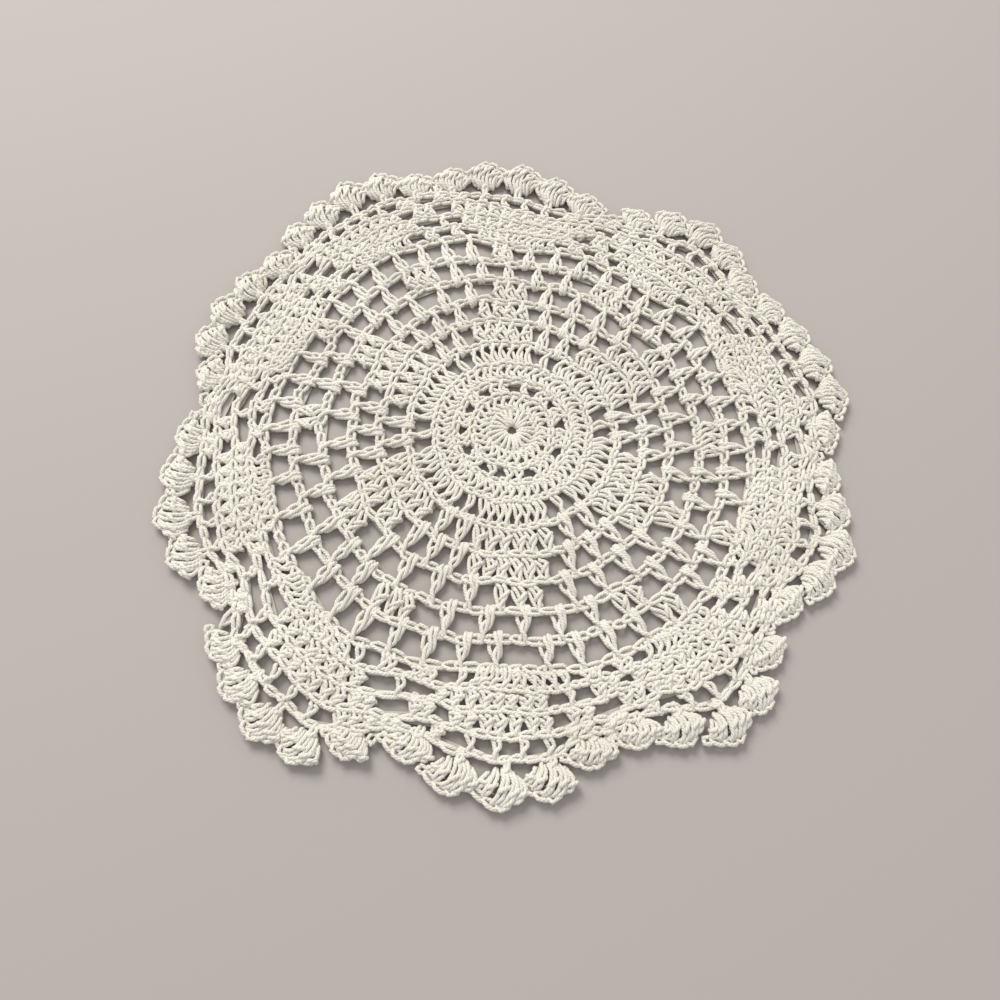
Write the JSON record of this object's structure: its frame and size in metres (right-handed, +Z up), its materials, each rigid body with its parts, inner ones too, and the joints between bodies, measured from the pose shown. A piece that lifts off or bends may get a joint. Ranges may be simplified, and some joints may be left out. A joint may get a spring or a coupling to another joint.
{
  "type": "lace doily",
  "caption": "Round crocheted cotton lace doily with a six-armed star, open mesh, scalloped lobes and raised picot clusters round the edge.",
  "frame": {"origin": "middle of the underside, where the first round starts", "axes": "+Z up, away from the surface the doily lies on; +Y away from the viewer; +X to the right"},
  "size_m": [0.1896, 0.1972, 0.0042],
  "materials": {
    "cotton": "matt ecru cotton crochet yarn"
  },
  "bodies": {
    "root": {"doily": "cotton"}
  },
  "joints": []
}
